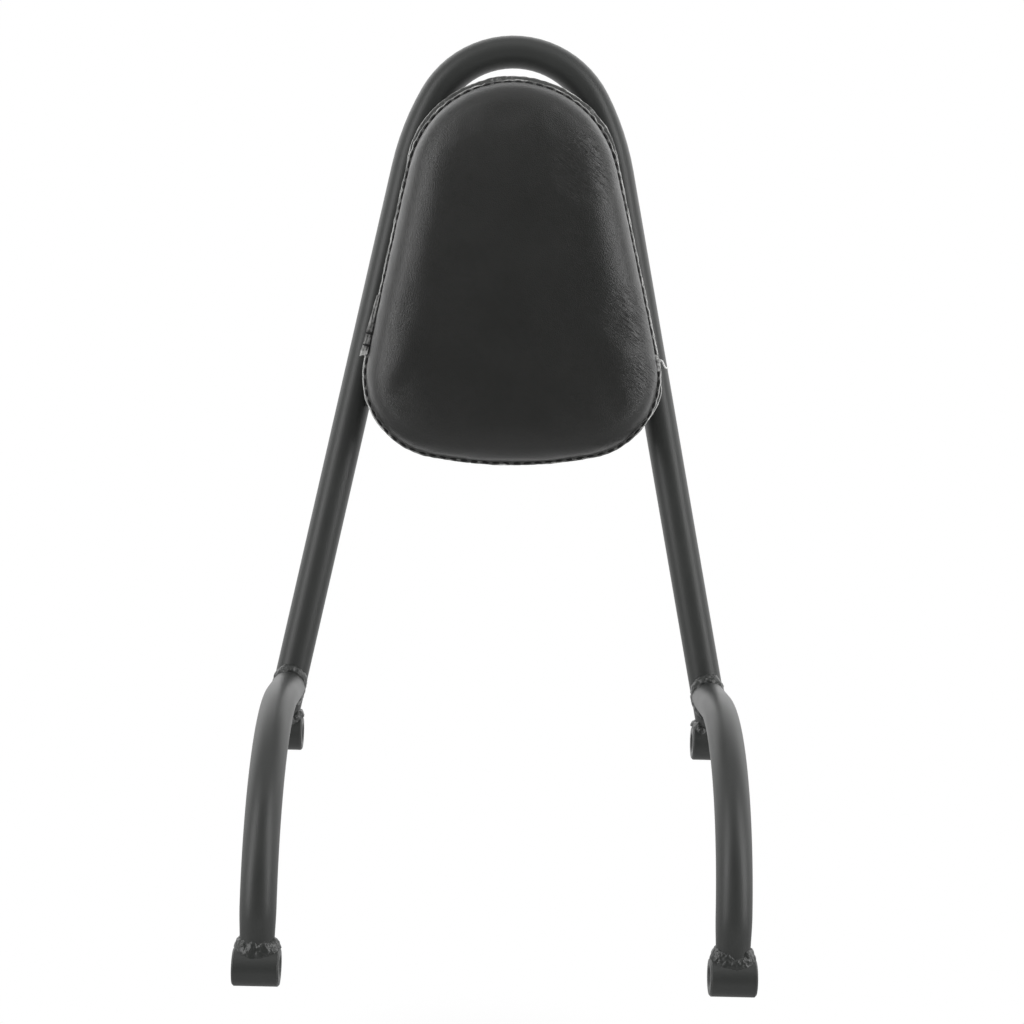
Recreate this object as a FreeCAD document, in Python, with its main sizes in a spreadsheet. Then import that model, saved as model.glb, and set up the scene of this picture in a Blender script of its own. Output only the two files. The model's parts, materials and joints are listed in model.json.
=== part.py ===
import FreeCAD, Part

import math
import os
import re

import Sketcher

V = FreeCAD.Vector

# Driving dimensions, in millimetres and degrees.
# The hoop plane holds the hoop's centre line. Levels run up it from the rear bolt axis,
# and depths run forwards from it, square to it.
DIMENSIONS = {
    # Hoop and its lean
    "tube_diameter": 22.0,
    "tube_wall": 2.0,
    "leg_foot_half": 148.4,
    "hoop_level": 465.7,
    "top_radius": 61.0,
    "shoulder_radius": 176.0,
    "shoulder_swell": 5.0,
    "rake_angle": 20.0,
    # Front legs
    "branch_level": 32.0,
    "branch_pitch": 3.0,
    "branch_reach": 165.0,
    "branch_drop": 121.0,
    "branch_bend_radius": 120.0,
    "cope_gap": 0.2,
    # Cross bushings
    "bushing_diameter": 23.0,
    "bushing_length": 28.0,
    "rear_bushing_inset": 16.4,
    "bolt_bore": 9.0,
    "mouth_diameter": 14.0,
    "bushing_rim": 1.0,
    "bore_lip": 0.5,
    # Weld beads
    "weld_size": 2.6,
    "leg_weld_size": 2.0,
    "weld_run": 30.0,
    # Cross straps behind the pad
    "strap_height": 26.0,
    "strap_thickness": 4.0,
    "upper_strap_drop": 103.7,
    "lower_strap_drop": 230.7,
    "strap_weld_length": 20.0,
    "slot_length": 16.0,
    "slot_width": 9.0,
    # Pad outline
    "pad_top_drop": 28.2,
    "pad_top_radius": 69.5,
    "pad_corner_half": 44.4,
    "pad_corner_drop": 194.6,
    "pad_corner_radius": 52.0,
    "pad_bottom_radius": 280.0,
    "pad_turn_angle": 1.3,
    # Pad section
    "pad_depth": 48.0,
    "seam_stand": 22.0,
    "seam_flange": 2.6,
    "cover_thickness": 1.2,
    "crown_radius": 1400.0,
    "crown_drop": 125.5,
    "front_edge_radius": 18.0,
    "back_edge_radius": 6.0,
    "board_thickness": 8.0,
    "board_fit": 0.3,
    # Pad fasteners
    "upper_bolt_half": 36.0,
    "lower_bolt_half": 58.0,
    "pad_bolt_diameter": 6.0,
    "bolt_head_flats": 10.0,
    "bolt_head_height": 4.0,
    "washer_diameter": 20.0,
    "washer_thickness": 1.6,
    "spring_diameter": 11.8,
    "spring_thickness": 1.6,
    "spring_slit": 1.2,
    "tee_flange_diameter": 19.0,
    "tee_flange_thickness": 1.2,
    "tee_barrel_diameter": 7.8,
    "tee_barrel_gap": 1.0,
    "thread_fit": 0.05,
    "hole_fit": 0.25,
}

# Sizes and places that follow from the driving dimensions
FORMULAS = {
    "tube_radius": "tube_diameter / 2",
    "tube_bore": "tube_diameter - 2 * tube_wall",
    "bushing_radius": "bushing_diameter / 2",
    "top_middle_level": "hoop_level - top_radius",
    "leg_distance": "top_radius + shoulder_swell",
    "foot_distance": "sqrt(leg_foot_half ^ 2 + top_middle_level ^ 2)",
    "leg_angle": "acos(leg_distance / foot_distance) - atan(top_middle_level / leg_foot_half)",
    "mouth_depth": "(mouth_diameter - bolt_bore) / 2",
    "rear_bushing_half": "leg_foot_half - rear_bushing_inset",
    "branch_plane": "leg_foot_half - branch_level * tan(leg_angle)",
    "front_bushing_half": "branch_plane - bushing_length / 2",
    "leg_weld_span": "branch_level + 2 * tube_diameter",
    "upper_strap_level": "hoop_level - upper_strap_drop",
    "lower_strap_level": "hoop_level - lower_strap_drop",
    "strap_back": "tube_radius - strap_thickness",
    "strap_end_gap": "sqrt(tube_radius ^ 2 - strap_back ^ 2) / cos(leg_angle)",
    "pad_top_level": "hoop_level - pad_top_drop",
    "pad_corner_level": "pad_top_level - pad_corner_drop",
    "crown_level": "pad_top_level - crown_drop",
    "crown_span": "pad_corner_drop",
    "pad_back": "tube_radius",
    "seam_plane": "pad_back + seam_stand",
    "pad_front": "pad_back + pad_depth",
    "front_wall": "pad_depth - seam_stand - crown_drop ^ 2 / (2 * crown_radius)",
    "front_edge": "min(front_edge_radius; front_wall - 2 * cover_thickness)",
    "back_edge": "min(back_edge_radius; seam_stand - cover_thickness)",
    "board_back": "pad_back + cover_thickness",
    "board_front": "board_back + board_thickness",
    "board_edge": "min(back_edge; board_thickness) - cover_thickness",
    "washer_back": "strap_back - washer_thickness",
    "spring_back": "washer_back - spring_thickness",
    "bolt_hole": "pad_bolt_diameter + 2 * hole_fit",
    "tee_bore": "pad_bolt_diameter + 2 * thread_fit",
    "tee_barrel_length": "board_thickness - tee_barrel_gap",
    "tee_hole": "tee_barrel_diameter + 2 * hole_fit",
    "tee_recess": "tee_flange_diameter + 2 * hole_fit",
    "bolt_head_corner": "bolt_head_flats / (2 * cos(30))",
}

SIDES = {"left": -1, "right": 1}

doc = FreeCAD.newDocument("passenger_backrest")
sheet = doc.addObject("Spreadsheet::Sheet", "Dims")
for row, (alias, number) in enumerate(DIMENSIONS.items(), start=1):
    sheet.set(f"A{row}", alias)
    sheet.set(f"B{row}", str(number))
    sheet.setAlias(f"B{row}", alias)
doc.recompute()

FORMULA_WORD = re.compile(r"\b(" + "|".join(FORMULAS) + r")\b")
SHEET_WORD = re.compile(r"\b(" + "|".join(DIMENSIONS) + r")\b")


def spelled_out(expression):
    """The expression in driving dimensions only."""
    while FORMULA_WORD.search(expression):
        expression = FORMULA_WORD.sub(lambda word: "(" + FORMULAS[word.group(1)] + ")", expression)
    return expression


def size(expression):
    """The present value of an expression."""
    return float(sheet.evalExpression(spelled_out(expression)))


def tie(thing, property_path, expression):
    """Bind a property to the sheet."""
    thing.setExpression(property_path, SHEET_WORD.sub(r"Dims.\1", spelled_out(expression)))


# Frames: the hoop plane leans back, and the pad hangs slightly turned on its slots
FRAME_POSE = FreeCAD.Placement(V(), FreeCAD.Rotation(V(1, 0, 0), -size("rake_angle")))
PAD_PIVOT = V(0, 0, size("upper_strap_level"))
PAD_TURN = FreeCAD.Rotation(V(0, 1, 0), -size("pad_turn_angle"))
PAD_POSE = FRAME_POSE.multiply(FreeCAD.Placement(V(), PAD_TURN, PAD_PIVOT))

# The pad's bolts, as distance from the middle and level
BOLT_PLACES = [
    (f"{side} * {half}", level)
    for half, level in (("upper_bolt_half", "upper_strap_level"), ("lower_bolt_half", "lower_strap_level"))
    for side in SIDES.values()
]


# Sketch and feature helpers

def new_body(label, pose):
    body = doc.addObject("PartDesign::Body", label)
    body.Label = label
    body.Placement = pose
    return body


def new_sketch(body, name, plane, at=("0", "0", "0"), lean="0"):
    """A sketch on an origin plane of its body, moved by at and turned about its upright axis."""
    sketch = body.newObject("Sketcher::SketchObject", name)
    origin_plane = next(item for item in body.Origin.OriginFeatures if item.Role == plane)
    sketch.AttachmentSupport = [(origin_plane, "")]
    sketch.MapMode = "FlatFace"
    sketch.AttachmentOffset = FreeCAD.Placement(V(), FreeCAD.Rotation(V(0, 1, 0), size(lean)))
    for axis, expression in zip("xyz", at):
        tie(sketch, f"AttachmentOffset.Base.{axis}", expression)
    if lean != "0":
        tie(sketch, "AttachmentOffset.Rotation.Angle", lean)
    return sketch


def hold(sketch, name, constraint, expression):
    """Add a named dimension that follows the sheet."""
    index = sketch.addConstraint(constraint)
    sketch.renameConstraint(index, name)
    tie(sketch, f"Constraints.{name}", expression)


def hold_point(sketch, item, end, x, y):
    """Fix a point of the sketch by its two coordinates."""
    for word, expression, axis in (("DistanceX", x, -2), ("DistanceY", y, -1)):
        if expression == "0":
            sketch.addConstraint(Sketcher.Constraint("PointOnObject", item, end, axis))
        else:
            rule = Sketcher.Constraint(word, -1, 1, item, end, size(expression))
            hold(sketch, f"{word}_{item}_{end}", rule, expression)


def draw_circle(sketch, diameter, x="0", y="0"):
    centre = V(size(x), size(y), 0)
    item = sketch.addGeometry(Part.Circle(centre, V(0, 0, 1), size(diameter) / 2), False)
    hold_point(sketch, item, 3, x, y)
    hold(sketch, f"diameter_{item}", Sketcher.Constraint("Diameter", item, size(diameter)), diameter)


def draw_polygon(sketch, corners):
    places = [V(size(x), size(y), 0) for x, y in corners]
    items = [
        sketch.addGeometry(Part.LineSegment(place, places[(number + 1) % len(places)]), False)
        for number, place in enumerate(places)
    ]
    for number, item in enumerate(items):
        following = items[(number + 1) % len(items)]
        sketch.addConstraint(Sketcher.Constraint("Coincident", item, 2, following, 1))
        hold_point(sketch, item, 1, *corners[number])


def draw_arc(sketch, centre, radius, start, end):
    """An arc by its centre, radius and two angles in degrees."""
    circle = Part.Circle(V(centre[0], centre[1], 0), V(0, 0, 1), radius)
    return sketch.addGeometry(Part.ArcOfCircle(circle, math.radians(start), math.radians(end)), False)


def draw_line(sketch, start, end):
    return sketch.addGeometry(Part.LineSegment(V(*start, 0), V(*end, 0)), False)


def join_smoothly(sketch, *joints):
    for first, first_end, second, second_end in joints:
        sketch.addConstraint(Sketcher.Constraint("Tangent", first, first_end, second, second_end))


def on_circle(centre, radius, angle):
    turn = math.radians(angle)
    return (centre[0] + radius * math.cos(turn), centre[1] + radius * math.sin(turn))


def add_pad(body, sketch, length):
    feature = body.newObject("PartDesign::Pad", f"{sketch.Name}_pad")
    feature.Profile = sketch
    tie(feature, "Length", length)
    return feature


def cut_through(body, sketch):
    feature = body.newObject("PartDesign::Pocket", f"{sketch.Name}_cut")
    feature.Profile = sketch
    feature.Type = "ThroughAll"
    feature.SideType = "Symmetric"
    return feature


def round_edges(body, face_test, radius):
    """Round the edges between the faces that pass the test and their neighbours."""
    doc.recompute()
    chosen = [face for face in body.Shape.Faces if face_test(face)]
    others = [face for face in body.Shape.Faces if not face_test(face)]
    rims = [edge for face in chosen for edge in face.Edges]
    walls = [edge for face in others for edge in face.Edges]
    names = [
        f"Edge{number}"
        for number, edge in enumerate(body.Shape.Edges, start=1)
        if any(edge.isSame(rim) for rim in rims) and any(edge.isSame(wall) for wall in walls)
    ]
    base = body.Tip
    feature = body.newObject("PartDesign::Fillet", "rounding")
    feature.Base = (base, names)
    tie(feature, "Radius", radius)
    return feature


def bend_tube(body, path, ring):
    """Sweep the tube's section along its whole path."""
    doc.recompute()
    feature = body.newObject("PartDesign::AdditivePipe", "bent_tube")
    feature.Profile = ring
    feature.Spine = (path, [f"Edge{number}" for number in range(1, len(path.Geometry) + 1)])
    return feature


def new_rod(name, radius, length, pose):
    rod = doc.addObject("Part::Cylinder", name)
    tie(rod, "Radius", radius)
    tie(rod, "Height", length)
    rod.Placement = pose
    return rod


def combine(kind, name, shapes):
    result = doc.addObject(kind, name)
    result.Shapes = shapes
    return result


def cut_away(label, base, tool):
    result = doc.addObject("Part::Cut", label)
    result.Base = base
    result.Tool = tool
    result.Label = label
    return result


# Frame

def make_hoop():
    """One bent tube: two straight legs, two shoulders and a round top, coped on the rear bushings."""
    body = new_body("hoop_tube", FRAME_POSE)
    path = new_sketch(body, "hoop_line", "XZ_Plane")
    foot = size("leg_foot_half")
    lean = size("leg_angle")
    top = size("top_radius")
    shoulder = size("shoulder_radius")
    middle = (0, size("top_middle_level"))
    turn = lean + math.degrees(math.acos((shoulder - size("leg_distance")) / (shoulder - top)))
    right_middle = on_circle(middle, top - shoulder, turn)
    left_middle = (-right_middle[0], right_middle[1])
    right_end = on_circle(right_middle, shoulder, lean)
    left_leg = draw_line(path, (-foot, 0), (-right_end[0], right_end[1]))
    left_shoulder = draw_arc(path, left_middle, shoulder, 180 - turn, 180 - lean)
    top_arc = draw_arc(path, middle, top, turn, 180 - turn)
    right_shoulder = draw_arc(path, right_middle, shoulder, lean, turn)
    right_leg = draw_line(path, (foot, 0), right_end)
    join_smoothly(
        path,
        (left_leg, 2, left_shoulder, 2),
        (left_shoulder, 1, top_arc, 2),
        (top_arc, 1, right_shoulder, 2),
        (right_shoulder, 1, right_leg, 2),
    )
    path.addConstraint(Sketcher.Constraint("Equal", left_leg, right_leg))
    path.addConstraint(Sketcher.Constraint("Equal", left_shoulder, right_shoulder))
    path.addConstraint(Sketcher.Constraint("Symmetric", left_leg, 1, right_leg, 1, -2))
    hold_point(path, right_leg, 1, "leg_foot_half", "0")
    hold_point(path, top_arc, 3, "0", "top_middle_level")
    hold(path, "lean", Sketcher.Constraint("Angle", right_leg, math.radians(90 + lean)), "90 deg + leg_angle")
    hold(path, "top", Sketcher.Constraint("Radius", top_arc, top), "top_radius")
    hold(path, "shoulder", Sketcher.Constraint("Radius", right_shoulder, shoulder), "shoulder_radius")
    ring = new_sketch(body, "hoop_section", "XY_Plane", at=("-leg_foot_half", "0", "0"), lean="leg_angle")
    draw_circle(ring, "tube_diameter")
    draw_circle(ring, "tube_bore")
    bend_tube(body, path, ring)
    cope = new_sketch(body, "rear_cope", "YZ_Plane")
    draw_circle(cope, "bushing_diameter")
    cut_through(body, cope)
    return body


def make_front_leg(name, side):
    """A tube that leaves the hoop leg forwards, bends down and ends on its bushing."""
    body = new_body(f"front_leg_{name}", FRAME_POSE)
    path = new_sketch(body, "leg_line", "YZ_Plane", at=("0", "0", f"{side} * branch_plane"))
    reach = size("branch_reach")
    drop = size("branch_drop")
    pitch = size("branch_pitch")
    radius = size("branch_bend_radius")
    tangent = radius * math.tan(math.radians((90 - pitch) / 2))
    bend_level = size("branch_level - branch_reach * tan(branch_pitch)") - tangent
    bend_middle = (radius - reach, bend_level)
    bend_top = on_circle(bend_middle, radius, 90 + pitch)
    down = draw_line(path, (-reach, -drop), (-reach, bend_level))
    bend = draw_arc(path, bend_middle, radius, 90 + pitch, 180)
    back = draw_line(path, bend_top, (0, size("branch_level")))
    join_smoothly(path, (down, 2, bend, 2), (bend, 1, back, 1))
    path.addConstraint(Sketcher.Constraint("Vertical", down))
    hold_point(path, down, 1, "-branch_reach", "-branch_drop")
    hold_point(path, back, 2, "0", "branch_level")
    hold(path, "pitch", Sketcher.Constraint("Angle", back, math.radians(pitch)), "branch_pitch")
    hold(path, "bend", Sketcher.Constraint("Radius", bend, radius), "branch_bend_radius")
    foot = (f"{side} * branch_plane", "-branch_reach", "-branch_drop")
    ring = new_sketch(body, "leg_section", "XY_Plane", at=foot)
    draw_circle(ring, "tube_diameter")
    draw_circle(ring, "tube_bore")
    bend_tube(body, path, ring)
    bushing_cope = new_sketch(body, "bushing_cope", "YZ_Plane")
    draw_circle(bushing_cope, "bushing_diameter", "-branch_reach", "-branch_drop")
    cut_through(body, bushing_cope)
    hoop_foot = (f"{side} * leg_foot_half", "0", "0")
    hoop_cope = new_sketch(body, "hoop_cope", "XY_Plane", at=hoop_foot, lean=f"{-side} * leg_angle")
    draw_circle(hoop_cope, "tube_diameter + 2 * cope_gap")
    cut_through(body, hoop_cope)
    return body


def make_bushing(label, side, inner_half, level, reach):
    """A turned cross bushing with a wide mouth on the inner side, its bore along X."""
    body = new_body(label, FRAME_POSE)
    section = new_sketch(body, "section", "XZ_Plane", at=(f"{side} * ({inner_half})", level, reach))
    draw_polygon(section, [
        ("0", "mouth_diameter / 2"),
        ("0", "bushing_radius - bushing_rim"),
        (f"{side} * bushing_rim", "bushing_radius"),
        (f"{side} * (bushing_length - bushing_rim)", "bushing_radius"),
        (f"{side} * bushing_length", "bushing_radius - bushing_rim"),
        (f"{side} * bushing_length", "bolt_bore / 2 + bore_lip"),
        (f"{side} * (bushing_length - bore_lip)", "bolt_bore / 2"),
        (f"{side} * mouth_depth", "bolt_bore / 2"),
    ])
    turned = body.newObject("PartDesign::Revolution", "turned")
    turned.Profile = section
    turned.ReferenceAxis = (section, ["H_Axis"])
    return body


def draw_slot(sketch, x):
    """A slot along X with round ends."""
    radius = size("slot_width / 2")
    half = "(slot_length - slot_width) / 2"
    right_middle = (size(f"{x} + {half}"), 0)
    left_middle = (size(f"{x} - {half}"), 0)
    right = draw_arc(sketch, right_middle, radius, -90, 90)
    top = draw_line(sketch, (right_middle[0], radius), (left_middle[0], radius))
    left = draw_arc(sketch, left_middle, radius, 90, 270)
    bottom = draw_line(sketch, (left_middle[0], -radius), (right_middle[0], -radius))
    join_smoothly(sketch, (right, 2, top, 1), (top, 2, left, 1), (left, 2, bottom, 1), (bottom, 2, right, 1))
    for arc, middle in ((right, f"{x} + {half}"), (left, f"{x} - {half}")):
        hold_point(sketch, arc, 3, middle, "0")
        hold(sketch, f"radius_{arc}", Sketcher.Constraint("Radius", arc, radius), "slot_width / 2")


def make_strap(label, level, bolt_half):
    """A flat bar between the hoop legs, flush with the front of the tubes."""
    body = new_body(label, FRAME_POSE)
    outline = new_sketch(body, "outline", "XZ_Plane", at=("0", level, "strap_back"))
    low = f"(leg_foot_half - ({level} - strap_height / 2) * tan(leg_angle) - strap_end_gap)"
    high = f"(leg_foot_half - ({level} + strap_height / 2) * tan(leg_angle) - strap_end_gap)"
    draw_polygon(outline, [
        (f"-1 * {low}", "-strap_height / 2"),
        (low, "-strap_height / 2"),
        (high, "strap_height / 2"),
        (f"-1 * {high}", "strap_height / 2"),
    ])
    for side in SIDES.values():
        draw_slot(outline, f"{side} * {bolt_half}")
    add_pad(body, outline, "strap_thickness")
    return body


def leg_pose(side):
    lean = FreeCAD.Rotation(V(0, 1, 0), -side * size("leg_angle"))
    return FRAME_POSE.multiply(FreeCAD.Placement(V(side * size("leg_foot_half"), 0, 0), lean))


def branch_pose(side):
    forwards = FreeCAD.Rotation(V(1, 0, 0), 90 + size("branch_pitch"))
    start = V(side * size("branch_plane"), 0, size("branch_level"))
    return FRAME_POSE.multiply(FreeCAD.Placement(start, forwards))


def drop_pose(side):
    foot = V(side * size("branch_plane"), -size("branch_reach"), -size("branch_drop"))
    return FRAME_POSE.multiply(FreeCAD.Placement(foot, FreeCAD.Rotation()))


def bushing_pose(side, inner_half, level, reach):
    start = size(inner_half) if side > 0 else -size(f"{inner_half} + bushing_length")
    across = FreeCAD.Rotation(V(0, 1, 0), 90)
    return FRAME_POSE.multiply(FreeCAD.Placement(V(start, -size(reach), size(level)), across))


def make_bead(label, bead, tube_pose, cross_radius, cross_length, cross_pose, keep_clear=()):
    """A weld bead: what lies within the bead's size of both pieces, outside of them."""
    near_tube = new_rod(f"{label}_near_tube", f"tube_radius + {bead}", "weld_run", tube_pose)
    near_cross = new_rod(f"{label}_near_cross", f"{cross_radius} + {bead}", cross_length, cross_pose)
    tube = new_rod(f"{label}_tube", "tube_radius", "weld_run", tube_pose)
    cross = new_rod(f"{label}_cross", cross_radius, cross_length, cross_pose)
    near_both = combine("Part::MultiCommon", f"{label}_near_both", [near_tube, near_cross])
    pieces = combine("Part::MultiFuse", f"{label}_pieces", [tube, cross, *keep_clear])
    return cut_away(label, near_both, pieces)


def make_frame_welds(name, side):
    rear_pose = bushing_pose(side, "rear_bushing_half", "0", "0")
    front_pose = bushing_pose(side, "front_bushing_half", "-branch_drop", "branch_reach")
    bushing = ("bushing_radius", "bushing_length")
    hoop_leg = ("tube_radius", "leg_weld_span")
    rear_room = new_rod(f"rear_weld_room_{name}", "bushing_radius + weld_size", "bushing_length", rear_pose)
    return [
        make_bead(f"rear_bushing_weld_{name}", "weld_size", leg_pose(side), *bushing, rear_pose),
        make_bead(f"front_bushing_weld_{name}", "weld_size", drop_pose(side), *bushing, front_pose),
        make_bead(
            f"leg_weld_{name}", "leg_weld_size", branch_pose(side), *hoop_leg, leg_pose(side), [rear_room]
        ),
    ]


def make_strap_welds(label, level):
    """Two beads in the corner between a strap's back and the hoop legs."""
    beads = []
    for name, side in SIDES.items():
        leg_half = f"leg_foot_half - {level} * tan(leg_angle)"
        near_leg = new_rod(f"{label}_near_{name}", "tube_radius + weld_size", "hoop_level", leg_pose(side))
        leg = new_rod(f"{label}_leg_{name}", "tube_radius", "hoop_level", leg_pose(side))
        corner = doc.addObject("Part::Box", f"{label}_corner_{name}")
        tie(corner, "Length", "tube_diameter")
        tie(corner, "Width", "weld_size")
        tie(corner, "Height", "strap_weld_length")
        inner = size(f"{leg_half} - tube_diameter") if side > 0 else -size(leg_half)
        start = V(inner, -size("strap_back"), size(f"{level} - strap_weld_length / 2"))
        corner.Placement = FRAME_POSE.multiply(FreeCAD.Placement(start, FreeCAD.Rotation()))
        near_both = combine("Part::MultiCommon", f"{label}_near_both_{name}", [near_leg, corner])
        beads.append(cut_away(f"{label}_{name}", near_both, leg))
    pair = doc.addObject("Part::Compound", label)
    pair.Links = beads
    pair.Label = label
    return pair


# Pad

def draw_pad_outline(sketch, grow):
    """The pad's outline: a round top, straight sides, round corners and a long bottom arc."""
    top_radius = size(f"pad_top_radius + {grow}")
    corner_radius = size(f"pad_corner_radius + {grow}")
    bottom_radius = size(f"pad_bottom_radius + {grow}")
    top_middle = (0, size("pad_top_level - pad_top_radius"))
    right_middle = (size("pad_corner_half"), size("pad_corner_level"))
    left_middle = (-right_middle[0], right_middle[1])
    spread = right_middle[0]
    rise = math.sqrt((bottom_radius - corner_radius) ** 2 - spread ** 2)
    bottom_middle = (0, right_middle[1] + rise)
    fall = right_middle[1] - top_middle[1]
    slope = math.acos((top_radius - corner_radius) / math.hypot(spread, fall)) + math.atan2(fall, spread)
    side_angle = math.degrees(slope)
    low_angle = math.degrees(math.atan2(-rise, spread))
    top = draw_arc(sketch, top_middle, top_radius, side_angle, 180 - side_angle)
    right_side = draw_line(
        sketch,
        on_circle(top_middle, top_radius, side_angle),
        on_circle(right_middle, corner_radius, side_angle),
    )
    right_corner = draw_arc(sketch, right_middle, corner_radius, low_angle, side_angle)
    bottom = draw_arc(sketch, bottom_middle, bottom_radius, -180 - low_angle, low_angle)
    left_corner = draw_arc(sketch, left_middle, corner_radius, 180 - side_angle, 180 - low_angle)
    left_side = draw_line(
        sketch,
        on_circle(left_middle, corner_radius, 180 - side_angle),
        on_circle(top_middle, top_radius, 180 - side_angle),
    )
    join_smoothly(
        sketch,
        (top, 1, right_side, 1),
        (right_side, 2, right_corner, 2),
        (right_corner, 1, bottom, 2),
        (bottom, 1, left_corner, 2),
        (left_corner, 1, left_side, 1),
        (left_side, 2, top, 2),
    )
    hold_point(sketch, top, 3, "0", "pad_top_level - pad_top_radius")
    hold_point(sketch, right_corner, 3, "pad_corner_half", "pad_corner_level")
    hold_point(sketch, left_corner, 3, "-pad_corner_half", "pad_corner_level")
    for name, arc, radius, expression in (
        ("top", top, top_radius, "pad_top_radius"),
        ("right_corner", right_corner, corner_radius, "pad_corner_radius"),
        ("left_corner", left_corner, corner_radius, "pad_corner_radius"),
        ("bottom", bottom, bottom_radius, "pad_bottom_radius"),
    ):
        hold(sketch, name, Sketcher.Constraint("Radius", arc, radius), f"{expression} + {grow}")


def add_pad_layer(body, name, grow, back, front):
    """A flat layer with the pad's outline, between two depths."""
    outline = new_sketch(body, name, "XZ_Plane", at=("0", "0", back))
    draw_pad_outline(outline, grow)
    return add_pad(body, outline, f"{front} - ({back})")


def cut_crown(body, inset):
    """Turn the front of the pad to a very flat dome."""
    section = new_sketch(body, "crown_section", "YZ_Plane", at=("0", "crown_level", "0"))
    radius = size(f"crown_radius - {inset}")
    span = size("crown_span")
    front = size(f"pad_front - {inset}")
    head = size("pad_front + cover_thickness")
    middle = (radius - front, 0)
    rim_angle = 180 - math.degrees(math.asin(span / radius))
    rim = on_circle(middle, radius, rim_angle)
    dome = draw_arc(section, middle, radius, rim_angle, 180)
    axis = draw_line(section, (-front, 0), (-head, 0))
    face = draw_line(section, (-head, 0), (-head, span))
    side = draw_line(section, (-head, span), rim)
    for first, first_end, second, second_end in (
        (dome, 2, axis, 1), (axis, 2, face, 1), (face, 2, side, 1), (side, 2, dome, 1)
    ):
        section.addConstraint(Sketcher.Constraint("Coincident", first, first_end, second, second_end))
    section.addConstraint(Sketcher.Constraint("PointOnObject", dome, 3, -1))
    hold(section, "crown", Sketcher.Constraint("Radius", dome, radius), f"crown_radius - {inset}")
    hold_point(section, axis, 1, f"-(pad_front - {inset})", "0")
    hold_point(section, axis, 2, "-(pad_front + cover_thickness)", "0")
    section.addConstraint(Sketcher.Constraint("Vertical", face))
    section.addConstraint(Sketcher.Constraint("Horizontal", side))
    hold(section, "span", Sketcher.Constraint("DistanceY", -1, 1, side, 1, span), "crown_span")
    groove = body.newObject("PartDesign::Groove", "crown")
    groove.Profile = section
    groove.ReferenceAxis = (section, ["H_Axis"])
    return groove


def is_dome(face):
    return isinstance(face.Surface, Part.Sphere)


def faces_back(depth):
    """A test for the flat face at a depth, in the pad's own frame."""
    def test(face):
        place = PAD_POSE.inverse().multVec(face.CenterOfMass)
        return isinstance(face.Surface, Part.Plane) and abs(place.y + size(depth)) < size("thread_fit")
    return test


def draw_bolt_circles(sketch, *diameters):
    for x, level in BOLT_PLACES:
        for diameter in diameters:
            draw_circle(sketch, diameter, x, level)


def make_foam():
    """The foam core, with a recess for each tee nut's flange."""
    body = new_body("pad_foam", PAD_POSE)
    add_pad_layer(body, "foam_outline", "-cover_thickness", "board_front", "pad_front")
    cut_crown(body, "cover_thickness")
    round_edges(body, is_dome, "front_edge - cover_thickness")
    recess = new_sketch(body, "tee_recesses", "XZ_Plane", at=("0", "0", "board_front"))
    draw_bolt_circles(recess, "tee_recess")
    feature = body.newObject("PartDesign::Pocket", "recesses")
    feature.Profile = recess
    feature.Reversed = True
    tie(feature, "Length", "tee_flange_thickness")
    return body


def make_front_cover(foam):
    """The front panel: a skin over the foam with a seam flange round it."""
    blank = new_body("front_cover_blank", PAD_POSE)
    add_pad_layer(blank, "front_outline", "0", "seam_plane", "pad_front")
    cut_crown(blank, "0")
    round_edges(blank, is_dome, "front_edge")
    add_pad_layer(blank, "front_flange", "seam_flange", "seam_plane", "(seam_plane + cover_thickness)")
    return cut_away("pad_front_cover", blank, foam)


def make_back_cover():
    """The back panel: a shallow pan round the board with a seam flange and bolt holes."""
    blank = new_body("back_cover_blank", PAD_POSE)
    add_pad_layer(blank, "back_outline", "0", "pad_back", "seam_plane")
    round_edges(blank, faces_back("pad_back"), "back_edge")
    add_pad_layer(blank, "back_flange", "seam_flange", "(seam_plane - cover_thickness)", "seam_plane")
    inside = new_body("back_cover_inside", PAD_POSE)
    add_pad_layer(inside, "inside_outline", "-cover_thickness", "board_back", "pad_front")
    round_edges(inside, faces_back("board_back"), "back_edge - cover_thickness")
    holes = new_body("back_cover_holes", PAD_POSE)
    holes.AllowCompound = True
    circles = new_sketch(holes, "hole_circles", "XZ_Plane")
    draw_bolt_circles(circles, "bolt_hole")
    add_pad(holes, circles, "seam_plane")
    return cut_away("pad_back_cover", blank, combine("Part::MultiFuse", "back_cover_room", [inside, holes]))


def make_base_board():
    """The stiff board, bored for the tee nuts' barrels."""
    body = new_body("pad_base_board", PAD_POSE)
    add_pad_layer(body, "board_outline", "-(cover_thickness + board_fit)", "board_back", "board_front")
    round_edges(body, faces_back("board_back"), "board_edge")
    holes = new_sketch(body, "tee_holes", "XZ_Plane", at=("0", "0", "board_back"))
    draw_bolt_circles(holes, "tee_hole")
    cut_through(body, holes)
    return body


def make_rings(label, *layers):
    """Four ring-shaped fasteners, in layers of back, length, outer and inner diameter."""
    body = new_body(label, PAD_POSE)
    body.AllowCompound = True
    for number, (back, length, outer, inner) in enumerate(layers):
        rings = new_sketch(body, f"rings_{number}", "XZ_Plane", at=("0", "0", back))
        draw_bolt_circles(rings, outer, inner)
        add_pad(body, rings, length)
    return body


def make_tee_nuts():
    return make_rings(
        "pad_tee_nuts",
        ("board_front", "tee_flange_thickness", "tee_flange_diameter", "tee_bore"),
        ("board_front - tee_barrel_length", "tee_barrel_length", "tee_barrel_diameter", "tee_bore"),
    )


def make_washers():
    return make_rings("pad_washers", ("washer_back", "washer_thickness", "washer_diameter", "bolt_hole"))


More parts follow.
